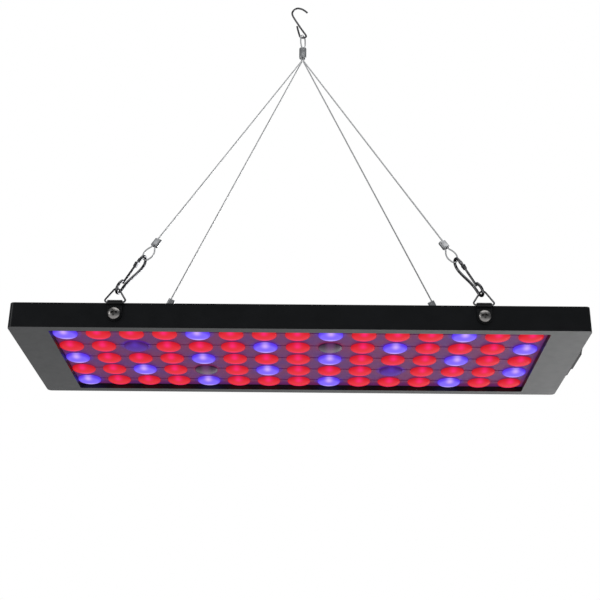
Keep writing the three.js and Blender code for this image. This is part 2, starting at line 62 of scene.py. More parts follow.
LENS = {"columns": 15, "rows": 5, "pitch_x": 18.05, "pitch_y": 18.5, "x": -0.9, "y": 1.3}
LENS_RADIUS = 6.7
LENS_DOME = 1.7
LENS_BASE = 2.6
LENS_BACK = 3.2

TAB = {"front_x": 98.3, "rear_x": 100.5, "width": 8, "thick": 1, "low": 3.5, "bar": 14.1, "roll": 1.2}
TAB_SCREW = {"z": 7.6, "head": 3.4, "height": 2.1, "shank": 1.6, "length": 5}
RING = {"wire": 0.5, "half": 5.4, "height": 9.3, "apex": 1.8, "corner": 1.3}
CLIP = {"wire": 0.8, "bend": 3.2, "bend_at": 0.2, "slack": 0.55, "top": 26.6, "thick": 0.95}
GATE = {"wire": 0.65, "at": -1.75, "pivot": 18.6, "tip_at": -0.1, "tip": 4.3}
KNUCKLE = {"radius": 1.2, "half": 0.35, "cheek": 0.95}
ROPE = {"wire": 0.45, "apart": 0.8, "loop": 2.1, "bulge": 2.75, "slack": 0.45, "aside": -0.6,
        "lean": 1.2}
FORK = {"z": 207.5, "x": 0.6, "y": 0.52}
SLEEVE = {"from": 35, "length": 5.2, "width": 4.4, "thick": 2.6}
SLEEVE_BORE = 0.6
TOP_SLEEVE = {"x": -0.6, "z": 209.8, "length": 7.8, "width": 4.6, "thick": 4}
EYE = {"wire": 0.45, "arch": 2.4, "drop": 0.8, "turn": 55}
HOOK_WIRE = 0.6
HOOK_PIVOT = (-0.6, 226.1)
SMOOTH_ANGLE = 35

X = Vector((1, 0, 0))
Z = Vector((0, 0, 1))


# ------------------------------------------------------------------ camera
def make_camera():
    """The photograph's view: below the panel, looking up at the sling."""
    pitch, yaw, roll = (math.radians(a) for a in (23.72, -0.80, 0.76))
    forward = Vector((math.sin(yaw) * math.cos(pitch), math.cos(yaw) * math.cos(pitch), math.sin(pitch)))
    right = Vector((math.cos(yaw), -math.sin(yaw), 0))
    up = right.cross(forward)
    level_right = math.cos(roll) * right + math.sin(roll) * up
    level_up = math.cos(roll) * up - math.sin(roll) * right
    data = bpy.data.cameras.new("camera")
    data.sensor_width = 36
    data.lens = 66.9
    data.clip_start = 0.01
    camera = bpy.data.objects.new("camera", data)
    turn = Matrix((level_right, level_up, -forward)).transposed().to_4x4()
    place = (Vector((8.04, -596.88, -222.91)) + OFFSET) * MM
    camera.matrix_world = Matrix.Translation(place) @ turn
    bpy.context.collection.objects.link(camera)
    bpy.context.scene.camera = camera


# ------------------------------------------------------------------ node helpers
class Nodes:
    """A material's node tree with short ways to add and link nodes."""

    def __init__(self, name):
        self.material = bpy.data.materials.new(name)
        self.material.use_nodes = True
        self.tree = self.material.node_tree
        self.shader = self.tree.nodes["Principled BSDF"]

    def add(self, kind, **values):
        node = self.tree.nodes.new(kind)
        for key, value in values.items():
            if key in node.inputs:
                node.inputs[key].default_value = value
            else:
                setattr(node, key, value)
        return node

    def link(self, source, target):
        self.tree.links.new(source, target)

    def set(self, **values):
        names = {
            "base": "Base Color", "metal": "Metallic", "rough": "Roughness", "coat": "Coat Weight",
            "specular": "Specular IOR Level", "edge": "Specular Tint",
            "emission": "Emission Color", "strength": "Emission Strength",
        }
        for key, value in values.items():
            self.shader.inputs[names[key]].default_value = value

    def place(self):
        """Object coordinates in metres, the same on every piece."""
        return self.add("ShaderNodeTexCoord").outputs["Object"]

    def noise(self, size, detail=3.0, vector=None):
        """Noise whose features are about `size` millimetres."""
        node = self.add("ShaderNodeTexNoise", Scale=1 / (size * MM), Detail=detail)
        self.link(vector or self.place(), node.inputs["Vector"])
        return node.outputs["Fac"]

    def ramp(self, value, *stops):
        node = self.add("ShaderNodeValToRGB")
        elements = node.color_ramp.elements
        while len(elements) < len(stops):
            elements.new(0.5)
        for element, (position, color) in zip(elements, stops):
            element.position = position
            element.color = (*color, 1)
        self.link(value, node.inputs["Fac"])
        return node.outputs["Color"]

    def range(self, value, low, high, from_low=0.0, from_high=1.0):
        node = self.add("ShaderNodeMapRange")
        limits = {"From Min": from_low, "From Max": from_high, "To Min": low, "To Max": high}
        for name, number in limits.items():
            node.inputs[name].default_value = number
        self.link(value, node.inputs["Value"])
        return node.outputs["Result"]

    def math(self, operation, a, b=0.0):
        node = self.add("ShaderNodeMath", operation=operation)
        for socket, value in zip(node.inputs, (a, b)):
            if isinstance(value, (int, float)):
                socket.default_value = value
            else:
                self.link(value, socket)
        return node.outputs[0]

    def mix(self, share, first, second):
        node = self.add("ShaderNodeMix", data_type="RGBA")
        for name, value in (("Factor", share), ("A", first), ("B", second)):
            socket = next(s for s in node.inputs if s.name == name and s.type in ("RGBA", "VALUE") and
                          (name == "Factor" or s.type == "RGBA"))
            if isinstance(value, tuple):
                socket.default_value = (*value, 1)
            else:
                self.link(value, socket)
        return next(s for s in node.outputs if s.type == "RGBA")

    def bump(self, height, strength, depth):
        node = self.add("ShaderNodeBump", Strength=strength, Distance=depth * MM)
        self.link(height, node.inputs["Height"])
        self.link(node.outputs["Normal"], self.shader.inputs["Normal"])


# ------------------------------------------------------------------ materials
def powder_coat():
    """Satin black powder coat with fine orange peel and slightly worn gloss."""
    n = Nodes("housing_powder_coat")
    n.set(specular=0.27)
    tone = n.noise(14, 4)
    color = n.ramp(tone, (0.3, (0.004, 0.0044, 0.005)), (0.7, (0.0065, 0.007, 0.008)))
    n.link(color, n.shader.inputs["Base Color"])
    n.link(n.range(n.noise(5, 5), 0.3, 0.4), n.shader.inputs["Roughness"])
    n.bump(n.noise(0.45, 2), 0.16, 0.03)
    return n.material


def polished(name, color, low, high, size, scratches=0.05, edge=1.0):
    """Plated metal with a little haze and fine drawing marks; edge dims what it mirrors at its rims."""
    n = Nodes(name)
    n.set(metal=1, edge=(edge, edge, edge, 1))
    tone = n.ramp(n.noise(size, 3), (0.3, [c * 0.86 for c in color]), (0.7, color))
    n.link(tone, n.shader.inputs["Base Color"])
    n.link(n.range(n.noise(size * 0.6, 5), low, high), n.shader.inputs["Roughness"])
    n.bump(n.noise(0.25, 2), scratches, 0.02)
    return n.material


def wire_rope():
    """Galvanised strands laid round each other, with painted shade in the grooves between them. Its UV map
    counts turns and millimetres along.
    """
    n = Nodes("wire_rope_strands")
    uv = n.add("ShaderNodeUVMap", uv_map="rope")
    split = n.add("ShaderNodeSeparateXYZ")
    n.link(uv.outputs[0], split.inputs[0])
    lay, strands = 6.0, 6
    phase = n.math("ADD", split.outputs[0], n.math("DIVIDE", split.outputs[1], lay))
    wave = n.math("ABSOLUTE", n.math("SINE", n.math("MULTIPLY", phase, math.pi * strands)))
    # Painted shade: darker in the grooves between strands, lighter on their crowns.
    groove_shade = n.ramp(wave, (0.0, (0.34, 0.34, 0.345)), (0.5, (0.62, 0.625, 0.63)))
    n.set(metal=0.25)
    n.link(groove_shade, n.shader.inputs["Base Color"])
    n.link(n.range(n.noise(1.5, 3), 0.42, 0.55), n.shader.inputs["Roughness"])
    n.bump(wave, 0.6, 0.06)
    return n.material


def aluminium():
    """Dull pressed aluminium with tool marks."""
    n = Nodes("pressed_aluminium")
    n.set(metal=1)
    n.link(n.ramp(n.noise(2.5, 3), (0.3, (0.33, 0.335, 0.34)), (0.7, (0.46, 0.465, 0.475))),
           n.shader.inputs["Base Color"])
    n.link(n.range(n.noise(1.2, 4), 0.36, 0.5), n.shader.inputs["Roughness"])
    n.bump(n.noise(0.5, 2), 0.12, 0.03)
    return n.material


def plastic(name, color, low, high, grain=0.5, coat=0.0, specular=0.5):
    """Moulded plastic with a fine spark-eroded grain."""
    n = Nodes(name)
    n.set(coat=coat, specular=specular)
    tone = n.ramp(n.noise(6, 4), (0.3, [c * 0.82 for c in color]), (0.7, color))
    n.link(tone, n.shader.inputs["Base Color"])
    n.link(n.range(n.noise(2.5, 4), low, high), n.shader.inputs["Roughness"])
    n.bump(n.noise(grain, 3), 0.2, 0.03)
    return n.material


def painted_glow_board(name):
    """The mask round the lenses. Its glow is painted light: a purple glow painted on its lower face, red
    or blue halos painted round each lens, and a dark back.
    """
    n = Nodes(name)
    place = n.place()
    split = n.add("ShaderNodeSeparateXYZ")
    n.link(place, split.inputs[0])
    steps = []
    offsets = []
    grid = ((0, LENS["x"] + OFFSET.x, LENS["pitch_x"]), (1, LENS["y"] + OFFSET.y, LENS["pitch_y"]))
    for axis, first, pitch in grid:
        along = n.math("MULTIPLY", n.math("SUBTRACT", split.outputs[axis], first * MM), 1 / (pitch * MM))
        nearest = n.math("ROUND", along)
        steps.append(nearest)
        offsets.append(n.math("MULTIPLY", n.math("SUBTRACT", along, nearest), pitch))
    away = n.math("SQRT", n.math("ADD", n.math("POWER", offsets[0], 2), n.math("POWER", offsets[1], 2)))
    # Every fourth lens of a row is blue or violet, two columns over in every other row.
    column = n.math("ADD", steps[0], (LENS["columns"] - 1) / 2)
    row = n.math("ADD", steps[1], (LENS["rows"] - 1) / 2)
    shifted = n.math("ADD", n.math("ADD", column, 0.01), n.math("MULTIPLY", row, 2))
    count = n.math("FLOORED_MODULO", shifted, 4)
    red = n.math("MINIMUM", count, 1)
    # Painted halo: the red or blue light of the nearest lens, painted on the board round it.
    painted_halo = n.mix(red, (0.08, 0.008, 0.55), (0.3, 0.012, 0.05))
    # Painted glow: the LEDs' purple light painted over the whole board, its tone varying at random.
    painted_glow_hue = n.ramp(n.noise(21, 2), (0.35, (0.17, 0.02, 0.115)), (0.65, (0.105, 0.02, 0.17)))
    near = n.range(away, 0.8, 0, LENS_RADIUS - 0.3, LENS_RADIUS + 2.6)
    # Only faces turned down carry the painted glow; the back stays black.
    facing = n.add("ShaderNodeSeparateXYZ")
    n.link(n.add("ShaderNodeTexCoord").outputs["Normal"], facing.inputs[0])
    glow_face_mask = n.math("LESS_THAN", facing.outputs[2], -0.5)
    n.link(n.mix(glow_face_mask, (0, 0, 0), n.mix(near, painted_glow_hue, painted_halo)), n.shader.inputs["Emission Color"])
    n.set(strength=0.62, specular=0.1, rough=0.5)
    n.link(n.ramp(n.noise(3, 4), (0.3, (0.028, 0.006, 0.028)), (0.7, (0.04, 0.01, 0.04))),
           n.shader.inputs["Base Color"])
    n.bump(n.noise(0.8, 3), 0.1, 0.02)
    return n.material


def lens_material(name, body, rim, painted_highlight, far):
    """A lit dome: its glow is the LED's own light, with a painted highlight towards its front edge and a
    painted reflection, a paler band, towards its rear edge. Its UV map holds the place on the lens: the
    middle is (0.5, 0.5).
    """
    n = Nodes(name)
    uv = n.add("ShaderNodeUVMap", uv_map="lens")
    split = n.add("ShaderNodeSeparateXYZ")
    n.link(uv.outputs[0], split.inputs[0])
    u = n.math("MULTIPLY", n.math("SUBTRACT", split.outputs[0], 0.5), 2)
    v = n.math("MULTIPLY", n.math("SUBTRACT", split.outputs[1], 0.5), 2)

    def blob(centre_u, centre_v, size_u, size_v):
        a = n.math("DIVIDE", n.math("SUBTRACT", u, centre_u), size_u)
        b = n.math("DIVIDE", n.math("SUBTRACT", v, centre_v), size_v)
        square = n.math("ADD", n.math("POWER", a, 2), n.math("POWER", b, 2))
        return n.math("POWER", math.e, n.math("MULTIPLY", square, -1))

    away = n.math("SQRT", n.math("ADD", n.math("POWER", u, 2), n.math("POWER", v, 2)))
    color = n.mix(n.range(away, 0, 1, 0.78, 1.0), body, rim)
    # Painted reflection: a paler band towards the lens's rear edge.
    color = n.mix(n.math("MULTIPLY", blob(0, 0.62, 0.6, 0.26), 0.85), color, far)
    # Painted highlight: a bright spot towards the lens's front edge.
    color = n.mix(n.math("MULTIPLY", blob(0, -0.74, 0.28, 0.34), 0.9), color, painted_highlight)
    n.link(color, n.shader.inputs["Emission Color"])
    n.set(base=(0.02, 0.01, 0.02, 1), strength=1.0, specular=0.012)
    n.link(n.range(n.noise(2, 3), 0.2, 0.3), n.shader.inputs["Roughness"])
    return n.material


def dark_lens():
    """A lens over an infrared LED: nothing visible shines, so all its glow is painted light: the board's
    purple glow through its middle, and painted shade on its dark sides.
    """
    n = Nodes("lens_infrared_painted_glow")
    uv = n.add("ShaderNodeUVMap", uv_map="lens")
    split = n.add("ShaderNodeSeparateXYZ")
    n.link(uv.outputs[0], split.inputs[0])
    side = n.math("ABSOLUTE", n.math("MULTIPLY", n.math("SUBTRACT", split.outputs[0], 0.5), 2))
    # Painted light: purple board glow in the middle, painted shade on the darker flanks, a little less
    # dark at the rim.
    painted_board_glow, flank, rim = (0.1, 0.016, 0.1), (0.018, 0.004, 0.02), (0.03, 0.006, 0.035)
    tone = n.ramp(side, (0.15, painted_board_glow), (0.5, flank), (0.95, rim))
    n.link(tone, n.shader.inputs["Emission Color"])
    n.set(base=(0.02, 0.01, 0.02, 1), strength=0.9, specular=0.25)
    n.link(n.range(n.noise(2, 3), 0.2, 0.3), n.shader.inputs["Roughness"])
    return n.material


def circuit_board():
    """Green solder mask with paler tracks showing through."""
    n = Nodes("circuit_board_green")
    tracks = n.add("ShaderNodeTexBrick", Scale=260.0)
    n.link(n.place(), tracks.inputs["Vector"])
    tracks.inputs["Color1"].default_value = (0.012, 0.085, 0.03, 1)
    tracks.inputs["Color2"].default_value = (0.016, 0.11, 0.042, 1)
    tracks.inputs["Mortar"].default_value = (0.03, 0.2, 0.07, 1)
    n.link(tracks.outputs["Color"], n.shader.inputs["Base Color"])
    n.link(n.range(n.noise(1.5, 3), 0.28, 0.42), n.shader.inputs["Roughness"])
    n.bump(tracks.outputs["Fac"], 0.25, 0.03)
    return n.material


def winding():
    """Yellow tape over enamelled wire: fine parallel ridges, with painted shade darkening the valleys
    between them.
    """
    n = Nodes("winding_tape")
    wave = n.add("ShaderNodeTexWave", Scale=450.0, Distortion=0.6, Detail=1.0)
    n.link(n.place(), wave.inputs["Vector"])
    # Painted shade: the colour follows the ridges, darker in their valleys.
    n.link(n.ramp(wave.outputs["Fac"], (0.2, (0.3, 0.17, 0.015)), (0.8, (0.56, 0.36, 0.03))),
           n.shader.inputs["Base Color"])
    n.set(rough=0.42)
    n.bump(wave.outputs["Fac"], 0.4, 0.08)
    return n.material


SLOT_MATERIALS = {
    "housing": powder_coat(),
    "zinc_screw": polished("zinc_plate", (0.6, 0.6, 0.62), 0.24, 0.4, 1.5, 0.12),
    # The board and LED package slots carry the painted LED glow.
    "led_board": painted_glow_board("led_board_painted_glow"),
    "led_package": painted_glow_board("led_track_painted_glow"),
    "circuit_board": circuit_board(),
    "insulation": plastic("insulating_film", (0.7, 0.68, 0.58), 0.3, 0.45),
    "winding": winding(),
    "capacitor": plastic("capacitor_sleeve", (0.02, 0.03, 0.07), 0.22, 0.35, coat=0.3),
    "chip": plastic("chip_epoxy", (0.018, 0.018, 0.018), 0.5, 0.65),
    "cable": plastic("cable_jacket", (0.014, 0.014, 0.014), 0.42, 0.55),
    "inlet_plastic": plastic("inlet_moulding", (0.004, 0.004, 0.0045), 0.22, 0.34, specular=0.04),
    "brass": polished("pin_brass", (0.78, 0.56, 0.26), 0.2, 0.32, 2.0),
    "chrome": polished("bright_nickel", (0.13, 0.13, 0.135), 0.16, 0.26, 3.0, 0.03, 0.12),
    "steel_wire": polished("galvanised_wire", (0.17, 0.172, 0.176), 0.2, 0.32, 2.0, 0.05, 0.12),
    "sleeve_metal": aluminium(),
}
# Lens colours: glow, rim, painted highlight, painted rear reflection.
RED_LENS = lens_material(
    "lens_red", (0.76, 0.012, 0.02), (0.62, 0.008, 0.015), (1.0, 0.016, 0.17), (1.0, 0.02, 0.15))
BLUE_LENS = lens_material(
    "lens_blue", (0.2, 0.125, 1.0), (0.1, 0.04, 0.85), (0.66, 0.42, 1.0), (0.64, 0.48, 1.0))
VIOLET_LENS = lens_material(
    "lens_violet", (0.075, 0.022, 0.3), (0.06, 0.012, 0.14), (0.09, 0.03, 0.42), (0.07, 0.02, 0.28))
DARK_LENS = dark_lens()
WIRE_ROPE = wire_rope()
SCREW_STEEL = polished("screw_steel", (0.3, 0.288, 0.278), 0.26, 0.36, 2.0, 0.05)


# ------------------------------------------------------------------ mesh helpers
def to_row(point):
    """A point of the panel frame, in millimetres, as a point of the row frame, in metres."""
    return (Vector(point) + OFFSET) * MM


def smooth_edges(bm, angle):
    """Edges turn sharp where two faces meet at more than the angle, in degrees."""
    limit = math.radians(angle)
    for edge in bm.edges:
        edge.smooth = len(edge.link_faces) == 2 and edge.calc_face_angle(0) < limit


def make_piece(name, bm, material, smooth_angle=SMOOTH_ANGLE):
    """A mesh piece from a bmesh whose vertices are in millimetres in the panel frame."""
    bmesh.ops.recalc_face_normals(bm, faces=bm.faces)
    for vertex in bm.verts:
        vertex.co = to_row(vertex.co)
    smooth_edges(bm, smooth_angle)
    for face in bm.faces:
        face.smooth = True
    mesh = bpy.data.meshes.new(name)
    bm.to_mesh(mesh)
    bm.free()
    for one in material if isinstance(material, (list, tuple)) else [material]:
        mesh.materials.append(one)
    piece = bpy.data.objects.new(name, mesh)
    bpy.context.collection.objects.link(piece)
    return piece


def settle(piece, body, node):
    """The piece moves with a body and stands for a CAD node."""
    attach(piece, body)
    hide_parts(node)


def spline(points, per_span):
    """Points of a centripetal Catmull-Rom curve through the given ones."""
    points = [Vector(p) for p in points]
    ends = [2 * points[0] - points[1], *points, 2 * points[-1] - points[-2]]
    line = []
    for a, b, c, d in zip(ends, ends[1:], ends[2:], ends[3:]):
        times = [0.0]
        for start, stop in ((a, b), (b, c), (c, d)):
            times.append(times[-1] + math.sqrt(max((stop - start).length, 1e-6)))
        t0, t1, t2, t3 = times
        for i in range(per_span):
            t = t1 + (t2 - t1) * i / per_span
            p = a.lerp(b, (t - t0) / (t1 - t0))
            q = b.lerp(c, (t - t1) / (t2 - t1))
            r = c.lerp(d, (t - t2) / (t3 - t2))
            p = p.lerp(q, (t - t0) / (t2 - t0))
            q = q.lerp(r, (t - t1) / (t3 - t1))
            line.append(p.lerp(q, (t - t1) / (t2 - t1)))
    line.append(points[-1])
    return line


def arc(centre_a, centre_b, radius, start, stop, count):
    """(a, b) pairs on an arc; angles in degrees."""
    angles = (math.radians(start + (stop - start) * i / (count - 1)) for i in range(count))
    return [(centre_a + radius * math.cos(t), centre_b + radius * math.sin(t)) for t in angles]


def frames(line, closed=False):
    """Tangent and two normals at each point, carried along without twist."""
    count = len(line)
    tangents = []
    for i in range(count):
        before = line[i - 1] if i or closed else line[0]
        after = line[(i + 1) % count] if i < count - 1 or closed else line[-1]
        tangents.append((after - before).normalized())
    side = tangents[0].orthogonal().normalized()
    result = []
    for tangent in tangents:
        side = (side - tangent * side.dot(tangent)).normalized()
        result.append((tangent, side, tangent.cross(side)))
    return result


def sweep(bm, line, radius, sides, closed=False, uv_name=None):
    """A round tube along a line, its ends rounded. Its UVs are turns round it and millimetres along."""
    stations = [(point, axes, 1.0) for point, axes in zip(line, frames(line, closed))]
    if not closed:
        stations = round_ends(stations, radius)
    rings = []
    runs = []
    run = 0.0
    previous = stations[0][0]
    for point, (_, side, other), share in stations:
        run += (point - previous).length
        previous = point
        runs.append(run)
        angles = [2 * math.pi * i / sides for i in range(sides)]
        size = radius * share
        spokes = [math.cos(t) * side + math.sin(t) * other for t in angles]
        rings.append([bm.verts.new(point + size * spoke) for spoke in spokes])
    layer = bm.loops.layers.uv.new(uv_name) if uv_name else None
    count = len(rings)
    for k in range(count if closed else count - 1):
        low, high = rings[k], rings[(k + 1) % count]
        for i in range(sides):
            j = (i + 1) % sides
            face = bm.faces.new((low[i], low[j], high[j], high[i]))
            if layer:
                corners = ((i, runs[k]), (i + 1, runs[k]), (i + 1, runs[k + 1]), (i, runs[k + 1]))
                for loop, (turn, along) in zip(face.loops, corners):
                    loop[layer].uv = (turn / sides, along)
    if not closed:
        bm.faces.new(list(reversed(rings[0])))
        bm.faces.new(rings[-1])


def round_ends(stations, radius):
    """Extra, smaller rings inside both ends of a tube, so that its ends are rounded off."""
    shares = [(0.0, 0.45), (0.1, 0.75), (0.35, 0.94)]
    first, last = stations[0], stations[-1]
    start = [(first[0] + first[1][0] * radius * d, first[1], s) for d, s in shares]
    stop = [(last[0] - last[1][0] * radius * d, last[1], s) for d, s in reversed(shares)]
    reach = 0.5 * radius
    inner = [s for s in stations if (s[0] - first[0]).length > reach and (s[0] - last[0]).length > reach]
    return start + inner + stop


def turn_profile(bm, profile, place, axis, side, sides=28):
    """A turned solid: profile is (radius, height) pairs; height runs along axis from place."""
    z = axis.normalized()
    x = (side - z * side.dot(z)).normalized()
    y = z.cross(x)
    rings = []
    for radius, height in profile:
        centre = place + z * height
        if radius < 1e-6:
            rings.append([bm.verts.new(centre)])
        else:
            angles = (2 * math.pi * i / sides for i in range(sides))
            spokes = [math.cos(t) * x + math.sin(t) * y for t in angles]
            rings.append([bm.verts.new(centre + radius * spoke) for spoke in spokes])
    for low, high in zip(rings, rings[1:]):
        for i in range(sides):
            j = (i + 1) % sides
            corners = [low[i % len(low)], low[j % len(low)], high[j % len(high)], high[i % len(high)]]
            unique = list(dict.fromkeys(corners))
            if len(unique) > 2:
                bm.faces.new(unique)


def ridge_box(bm, place, x, y, z, size, bevel):
    """A box with rounded edges, centred on place, with the given axes and full sizes."""
    turn = Matrix((x.normalized(), y.normalized(), z.normalized())).transposed().to_4x4()
    scale = Matrix.Diagonal((*size, 1))
    made = bmesh.ops.create_cube(bm, size=1, matrix=Matrix.Translation(place) @ turn @ scale)
    edges = {e for v in made["verts"] for e in v.link_edges}
    bmesh.ops.bevel(bm, geom=list(edges), offset=bevel, segments=3, affect="EDGES", profile=0.5)


# ------------------------------------------------------------------ sling legs
class Leg:
    """Where one leg of the sling lies: ring bar, ring lean, line of pull, snap hook's plane."""

    def __init__(self, name, x, side):
        self.name, self.x, self.side = name, x, side
        bar_y = side * (PANEL_WIDTH / 2 + GAP + TAB["roll"])
        self.bar = Vector((x, bar_y, TAB["bar"]))
        outward = math.copysign(1, x)
        self.top = Vector((TOP_SLEEVE["x"] + outward * FORK["x"], side * FORK["y"], FORK["z"]))
        self.contact = self.bar.copy()
        for _ in range(8):
            self.pull = (self.top - self.contact).normalized()
            self.rise = Vector((0, self.pull.y, self.pull.z)).normalized()
            centre = self.bar + self.rise * (RING["height"] - RING["apex"])
            self.contact = centre + self.pull * RING["apex"]
        self.face = (X * outward - self.pull * (self.pull.x * outward)).normalized()
        self.across = Vector((0, -side * self.pull.z, side * self.pull.y)).normalized()
        self.bend = self.across.cross(self.pull).normalized()

    def at(self, axis, a, b):
        return self.contact + axis * a + self.pull * b


LEGS = [
    Leg("front_left", -TAB["front_x"], -1),
    Leg("front_right", TAB["front_x"], -1),
    Leg("rear_left", -TAB["rear_x"], 1),
    Leg("rear_right", TAB["rear_x"], 1),
]


def rope(leg):
    """One sling wire, from the top sleeve down, round the snap hook's bend and into its sleeve."""
    low = CLIP["top"] - CLIP["wire"] - ROPE["wire"] - ROPE["slack"]
    inside = SLEEVE["from"] + SLEEVE["length"] - SLEEVE_BORE
    apart, loop, bulge = ROPE["apart"], ROPE["loop"], ROPE["bulge"]
    down = [(apart, inside), (apart, SLEEVE["from"]), (apart + 0.4, 33.8), (bulge - 0.5, 31.8),
            (bulge, 29.6), (bulge - 0.1, 28.2)]
    route = down + arc(0, low + loop, loop, -15, -165, 9) + [(-a, b) for a, b in reversed(down)]
    points = []
    for a, b in route:
        share = min(1, max(0, (SLEEVE["from"] - b) / (SLEEVE["from"] - low)))
        points.append(leg.at(leg.face, a + ROPE["aside"], b) + leg.across * ROPE["lean"] * share)
    bent = spline(points, 8)
    steps = 40
    straight = [leg.top.lerp(bent[0], i / steps) for i in range(1, steps)]
    rise = TOP_SLEEVE["z"] + SLEEVE_BORE - leg.top.z
    lead = [leg.top + Z * rise * t for t in (1, 0.75, 0.5, 0.25, 0.1)]
    line = lead + [leg.top + (straight[0] - leg.top) * 0.04] + straight + bent
    bm = bmesh.new()
    sweep(bm, line, ROPE["wire"], sides=12, uv_name="rope")
    piece = make_piece("wire_rope_" + leg.name, bm, WIRE_ROPE, 50)
    settle(piece, "light", "sling_wire_" + leg.name)


def ring(leg):
    """The triangular wire ring, modelled as one closed bend."""
    half, corner, apex = RING["half"], RING["corner"], RING["apex"]
    reach = RING["height"] - apex
    dx, dy = half - corner, reach - corner
    flank = math.atan2(dy, dx) + math.asin((apex - corner) / math.hypot(dx, dy))
    turn = 90 - math.degrees(flank)
    right = [(a * (half - corner) / 6, 0) for a in range(6)]
    right += arc(half - corner, corner, corner, -90, turn, 12)
    right += arc(0, reach, apex, turn, 90, 14)
    left = [(-a, b) for a, b in reversed(right[1:-1])]
    line = [leg.bar + X * a + leg.rise * b for a, b in right + left]
    bm = bmesh.new()
    sweep(bm, line, RING["wire"], sides=16, closed=True)
    piece = make_piece("wire_ring_" + leg.name, bm, SLOT_MATERIALS["chrome"])
    settle(piece, "ring_" + leg.name, "hanger_ring_" + leg.name)


def clip(leg):
    """The snap hook's body: knuckle, thick neck with its band, top bend, arm, lower bend, nose."""
    low = -RING["wire"] - CLIP["wire"] - CLIP["slack"]
    at, pivot_b = GATE["at"], GATE["pivot"]
    route = [(at, pivot_b + 1.5), (at, 21.4), (at, 23.2), (-1.35, 24.7), (-0.3, 25.9), (1.2, CLIP["top"])]
    route += [(2.9, 26.7), (4.5, 26), (5.6, 24.5), (5.95, 22.3), (5.6, 19.2), (4.9, 16), (4, 12.6)]
    route += [(3.3, 9.2), (2.95, 6.6), (3.05, 4.6)]
    route += arc(CLIP["bend_at"], low + CLIP["bend"], CLIP["bend"], 8, -180, 12)
    route += [(-2.75, 2.9), (-2.3, 4.1), (-1.85, 5)]
    bm = bmesh.new()
    sweep(bm, spline([leg.at(leg.across, a, b) for a, b in route], 7), CLIP["wire"], sides=18)
    pivot = leg.at(leg.across, at, pivot_b)
    thick = CLIP["thick"]
    neck = [(0, 1.5), (thick - 0.15, 1.5), (thick, 1.65), (thick, 3.0), (thick + 0.08, 3.05),
            (thick + 0.08, 3.35), (thick - 0.1, 3.5), (0, 3.5)]
    turn_profile(bm, neck, pivot, leg.pull, leg.bend)
    half, radius = KNUCKLE["half"], KNUCKLE["radius"]
    disc = [(0, -half), (radius - 0.1, -half), (radius, -half + 0.1), (radius, half - 0.1),
            (radius - 0.1, half), (0, half)]
    turn_profile(bm, disc, pivot, leg.bend, leg.pull)
    ridge_box(bm, pivot + leg.pull, leg.bend, leg.across, leg.pull, (2 * half, 1.4, 2), 0.12)
    piece = make_piece("spring_hook_" + leg.name, bm, SLOT_MATERIALS["chrome"])
    settle(piece, "clip_" + leg.name, "snap_hook_" + leg.name)


def gate(leg):
    """The snap hook's gate: rod, forked root and rivet."""
    hinge = leg.at(leg.across, GATE["at"], GATE["pivot"])
    tip = leg.at(leg.across, GATE["tip_at"], GATE["tip"])
    down = (tip - hinge).normalized()
    inward = leg.bend.cross(down).normalized()
    half, cheek, radius = KNUCKLE["half"], KNUCKLE["cheek"], KNUCKLE["radius"] - 0.2
    bm = bmesh.new()
    start = hinge + down * 2
    line = [start.lerp(tip, i / 24) for i in range(25)]
    sweep(bm, line, GATE["wire"], sides=18)
    ridge_box(bm, hinge + down * 1.95, leg.bend, inward, down, (2 * cheek, 1.4, 0.9), 0.25)
    for sign in (-1, 1):
        mid = hinge + leg.bend * sign * (half + 0.15 + cheek) / 2
        width = cheek - half - 0.15
        ridge_box(bm, mid + down * 0.9, leg.bend, inward, down, (width, 1.4, 1.8), 0.08)
        disc = [(0, -width / 2), (radius - 0.06, -width / 2), (radius, -width / 2 + 0.06),
                (radius, width / 2 - 0.06), (radius - 0.06, width / 2), (0, width / 2)]
        turn_profile(bm, disc, mid, leg.bend, down)
    rivet = [(0, -cheek - 0.12), (0.3, -cheek - 0.12), (0.5, -cheek), (0.38, -cheek + 0.05),
             (0.38, cheek - 0.05), (0.5, cheek), (0.3, cheek + 0.12), (0, cheek + 0.12)]
    turn_profile(bm, rivet, hinge, leg.bend, down, 16)
    piece = make_piece("spring_gate_" + leg.name, bm, SLOT_MATERIALS["chrome"])
    settle(piece, "gate_" + leg.name, "snap_gate_" + leg.name)


def oval_section(width, thick, count):
    """Points round an oval with straight sides."""
    radius = thick / 2
    reach = width / 2 - radius
    points = []
    for i in range(count):
        t = 2 * math.pi * (i + 0.5) / count
        points.append((math.copysign(reach, math.cos(t)) + radius * math.cos(t), radius * math.sin(t)))
    return points


def pressed_sleeve(name, place, along, wide, size, node):
    """A pressed oval sleeve, a little waisted by the press, with a bore and rounded rims."""
    deep = along.cross(wide).normalized()
    width, thick, length = size["width"], size["thick"], size["length"]
    steps = 24
    profile = []
    for i in range(steps + 1):
        t = i / steps
        end = min(t, 1 - t) * length
        rounding = 1 - 0.14 * max(0.0, 1 - end / 0.3) ** 2
        waist = 1 - 0.045 * math.sin(math.pi * t) ** 2
        profile.append((t * length, width * rounding, thick * rounding * waist))
    bore = (width * 0.68, thick * 0.52)
    profile += [(length, *bore), (length - SLEEVE_BORE, *bore), (SLEEVE_BORE, *bore), (0, *bore)]
    bm = bmesh.new()
    rings = []
    for height, wide_size, deep_size in profile:
        section = oval_section(wide_size, deep_size, 36)
        rings.append([bm.verts.new(place + along * height + wide * a + deep * b) for a, b in section])
    for low, high in zip(rings, rings[1:] + rings[:1]):
        for i, (a, b) in enumerate(zip(low, high)):
            j = (i + 1) % len(low)
            bm.faces.new((a, low[j], high[j], b))
    piece = make_piece(name, bm, SLOT_MATERIALS["sleeve_metal"], 50)
    settle(piece, "light", node)


